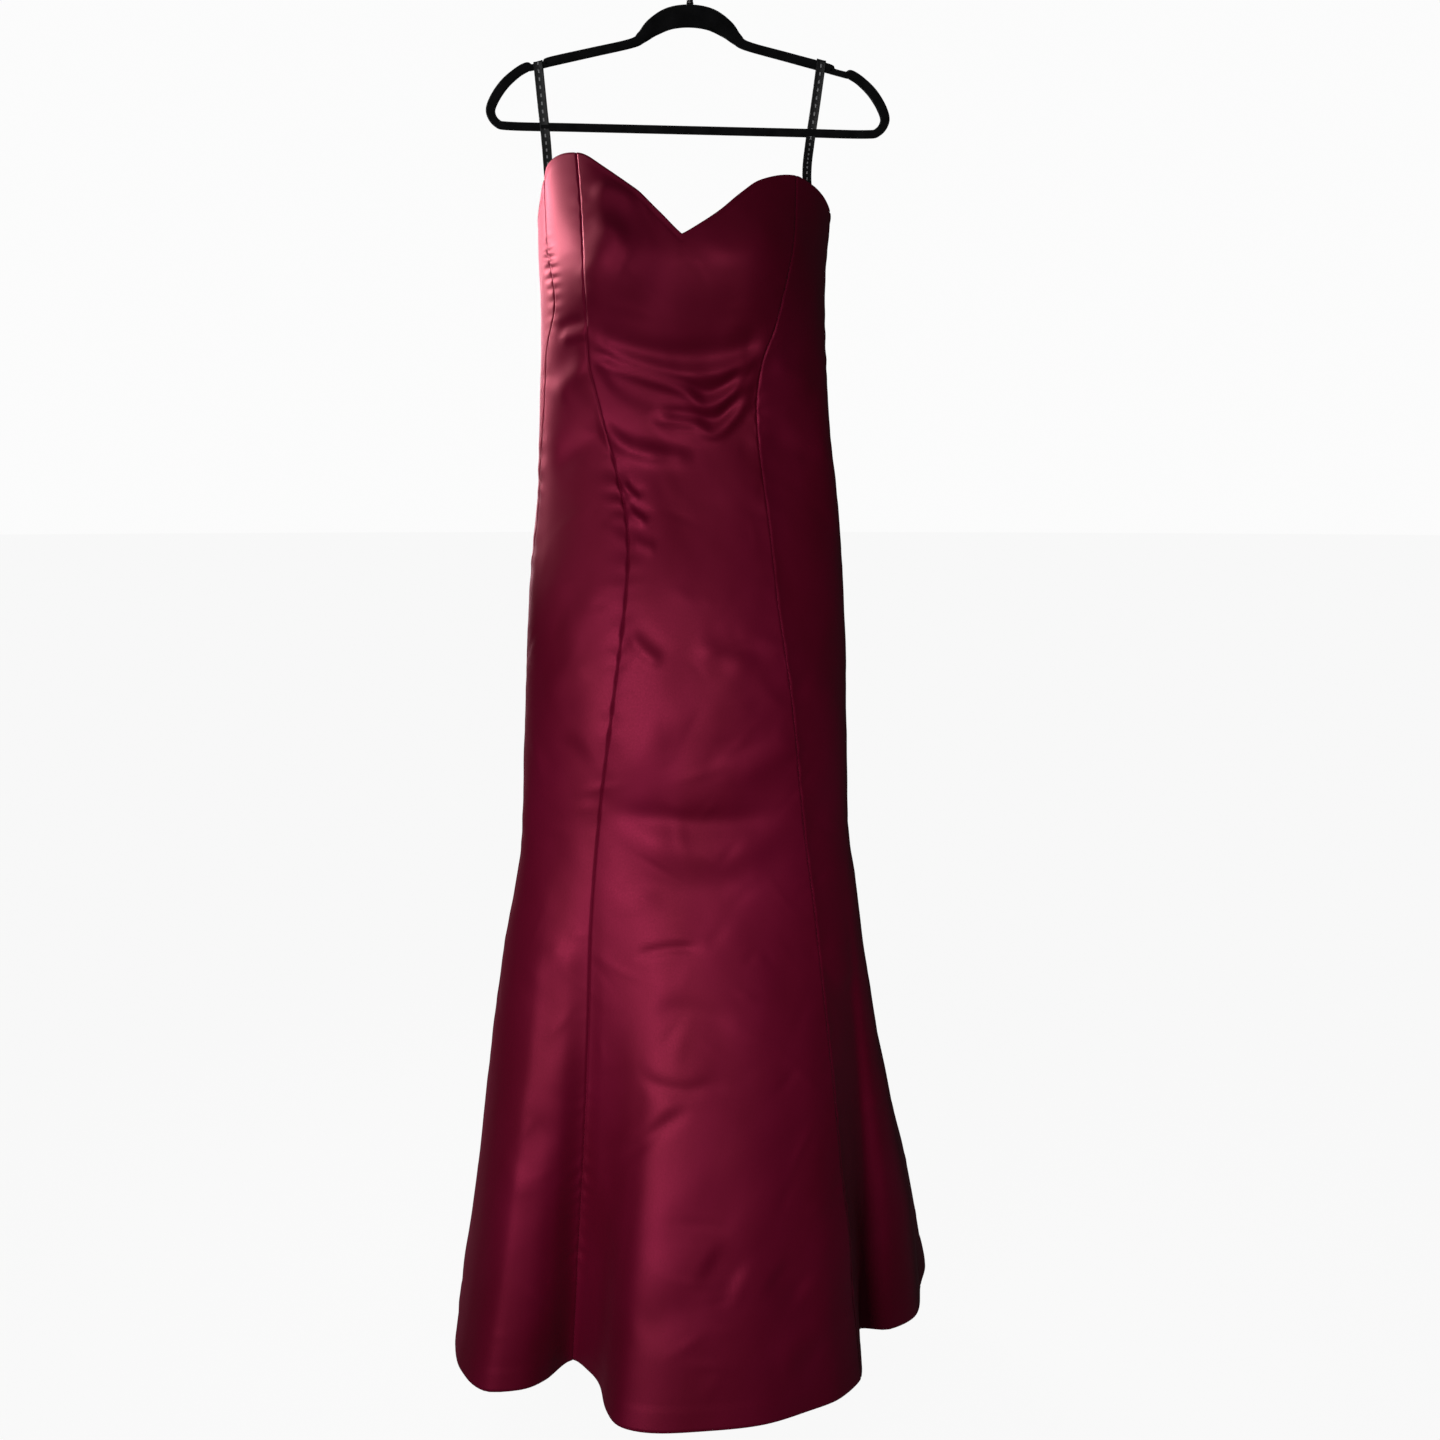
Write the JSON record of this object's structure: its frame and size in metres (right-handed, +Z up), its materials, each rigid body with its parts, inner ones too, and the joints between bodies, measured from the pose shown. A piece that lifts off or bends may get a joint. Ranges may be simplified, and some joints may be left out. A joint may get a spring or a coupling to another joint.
{
  "type": "mermaid dress on a hanger",
  "caption": "Long strapless satin gown with a sweetheart neck and a flared fishtail skirt, hanging by ribbon loops from a slim clothes hanger.",
  "frame": {"origin": "inner top of the hanger's hook, where a rail carries it", "axes": "+Z up along the hook's stem, the dress faces -Y, the wearer's right is at -X"},
  "size_m": [0.6279, 0.4958, 1.6658],
  "materials": {
    "satin": "burgundy duchess satin with a soft broad sheen",
    "zip_tape": "woven tape dyed to match",
    "zip_metal": "enamelled to match the satin",
    "ribbon": "black woven ribbon",
    "flocked_plastic": "black flocking",
    "hook_wire": "dark polished wire"
  },
  "bodies": {
    "garment": {"front_centre": "satin", "side_front_right": "satin", "side_front_left": "satin", "side_back_right": "satin", "side_back_left": "satin", "back_right": "satin", "back_left": "satin", "zip_tape": "zip_tape", "zip_slider": "zip_metal", "hanger_loop_right": "ribbon", "hanger_loop_left": "ribbon", "hanger_frame": "flocked_plastic", "hanger_hook": "hook_wire"},
    "zip_tab": {"zip_pull": "zip_metal"}
  },
  "joints": [
    {"name": "zip_pull_swing", "type": "hinge", "parent": "garment", "child": "zip_tab", "pos_m": [-0.01036, 0.09448, -0.36103], "axis": [1, 0, 0], "range_deg": [-8, 185]}
  ]
}
